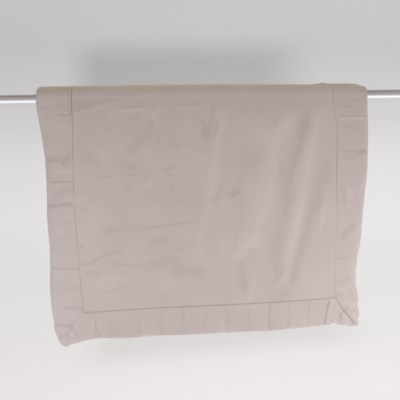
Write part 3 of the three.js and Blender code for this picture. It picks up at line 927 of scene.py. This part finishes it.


# Matt and pale, with a painted glow that is brighter towards the floor and to the right, and two painted soft
# shadows.
def backdropMaterial():
    made, tree, surface = newMaterial("backdrop", {"Base Color": stage["colour"], "Roughness": 1})
    place = addNode(tree, "TexCoord", (-900, 0)).outputs["Object"]
    split = addNode(tree, "SeparateXYZ", (-700, 0), {"Vector": place}).outputs
    low, high = stage["glowRows"][0][0], stage["glowRows"][-1][0]
    height = addNode(tree, "MapRange", (-550, 0), {"Value": split["Z"], "From Min": low, "From Max": high})
    rows = [((at - low) / (high - low), [part * paleness for part in stage["glowTint"]])
            for at, paleness in stage["glowRows"]]
    glow = addRamp(tree, (-350, 0), height.outputs["Result"], rows)
    strength = calculate(tree, "MULTIPLY_ADD", (-350, -300), split["X"],
                         stage["glow"] * stage["glowRise"], stage["glow"])
    # Painted shadows, which dim the glow.
    for key, second, low in (("floorShadow", "Y", -600), ("wallShadow", "Z", -1700)):
        paintedDark, lean, across, along = stage[key]
        leaning = calculate(tree, "MULTIPLY_ADD", (-550, low), split["X"], lean, split[second])
        shadow = calculate(tree, "MULTIPLY", (50, low),
                           softBand(tree, split["X"], across, (-350, low)),
                           softBand(tree, leaning, along, (-350, low - 550)))
        strength = calculate(tree, "MULTIPLY_ADD", (250, low), shadow, -paintedDark * stage["glow"], strength)
    setInputs(tree, surface, {"Emission Color": glow, "Emission Strength": strength})
    return made


lights = {
    "right": {"place": (1.1, -0.6, -0.55), "aim": (0.6, 0, -0.4), "size": (0.7, 0.5), "power": 3.7,
              "colour": (0.98, 1.0, 1.03), "lights": "cloth"},
    "left": {"place": (-0.2, -0.6, -0.55), "aim": (0.4, 0, -0.4), "size": (0.7, 0.5), "power": 3.3,
             "colour": (0.96, 1.0, 1.07), "lights": "cloth"},
    "rightEdge": {"place": (2.6, 0.1, -0.4), "aim": (0.7, 0, -0.35), "size": (1.4, 1.4), "power": 7.0,
                  "colour": (1.0, 1.0, 1.0), "lights": "cloth"},
    "above": {"place": (0.5, 0.10, 0.9), "aim": (0.5, 0, 0), "size": (1.4, 0.4), "power": 5.5,
              "colour": (1.0, 0.95, 0.58), "lights": "cloth"},
    "wideCard": {"place": (0.5, -1.63, -0.76), "aim": (0.5, 0, 0), "size": (6.0, 2.1), "power": 16,
                 "colour": (1.0, 1.0, 1.0), "lights": "chrome"},
    "brightCard": {"place": (0.5, -1.10, -0.86), "aim": (0.5, 0, 0), "size": (6.0, 0.8), "power": 5,
                   "colour": (1.0, 1.0, 1.0), "lights": "chrome"},
    "topCard": {"place": (0.5, 2.0, 1.3), "aim": (0.5, 0, 0), "size": (6.0, 0.9), "power": 14,
                "colour": (1.0, 0.96, 0.9), "lights": "chrome"},
    "warmCard": {"place": (0.5, -0.3, 1.5), "aim": (0.5, 0, 0), "size": (6.0, 3.0), "power": 8,
                 "colour": (1.0, 0.85, 0.7), "lights": "chrome"},
}


# Area lights out of the camera's sight. Those for the cloth aren't mirrored in the chrome, and the
# pale cards are only there to be mirrored.
def makeLights():
    for name, light in lights.items():
        data = bpy.data.lights.new(name, "AREA")
        data.shape = "RECTANGLE"
        data.size, data.size_y = light["size"]
        data.energy = light["power"]
        data.color = light["colour"]
        thing = addObject(name, data)
        thing.location = light["place"]
        away = thing.location - type(thing.location)(light["aim"])
        thing.rotation_mode = "QUATERNION"
        thing.rotation_quaternion = away.to_track_quat("Z", "Y")
        thing.visible_camera = False
        thing.visible_glossy = light["lights"] == "chrome"
        thing.visible_diffuse = light["lights"] == "cloth"


sky = {
    "round": (0.46, 0.46, 0.47, 1),
    "overhead": (0.20, 0.155, 0.13, 1),
    "overheadFrom": (0, -0.34, 0.94),       # the middle of the dim part
    "edge": (0.78, 0.93),                   # cosines of how far it reaches, outside and inside
}


# Even light from all round, with a dim warm part overhead.
def makeSky():
    world = bpy.data.worlds.new("room")
    bpy.context.scene.world = world
    world.use_nodes = True
    tree = world.node_tree
    place = addNode(tree, "TexCoord", (-900, 0)).outputs["Generated"]
    towards = addNode(tree, "VectorMath", (-700, 0), {0: place, 1: sky["overheadFrom"]},
                      operation="DOT_PRODUCT").outputs["Value"]
    rows = zip(sky["edge"], (sky["round"], sky["overhead"]))
    setInputs(tree, tree.nodes["Background"], {"Color": addRamp(tree, (-500, 0), towards, list(rows))})


def dress(thing, made, node):
    thing.data.materials.append(made)
    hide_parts(node)
    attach(thing, "root")


def main():
    bpy.context.scene.view_settings.view_transform = "Standard"
    makeBackdrop()
    makeLights()
    makeSky()
    print("stage, lights and sky made")

    chrome = chromeMaterial()
    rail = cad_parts["rail"]
    rail.data.materials.clear()
    rail.data.materials.append(chrome)
    print("rail finished")

    panelPiece = makePanel()
    panelCloth = clothMaterial("panel cloth", clothFinish["panel"], False)
    dress(panelPiece, panelCloth, "centre_panel")
    print("centre panel made")

    stripCloth = clothMaterial("strip cloth", clothFinish["strip"], True)
    for side in ("left", "right"):
        piece = makeSideStrip(f"strip_{side}", side)
        dress(piece, stripCloth, f"border_{side}")
    for end in ("front", "back"):
        piece = makeEndStrip(f"strip_{end}", end)
        dress(piece, stripCloth, f"border_{end}")
    print("strips made")

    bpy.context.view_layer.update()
    triangles = sum(len(o.data.polygons) * 2 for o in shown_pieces() if o.name.startswith(("panel", "strip")))
    print("triangles added:", triangles)


main()
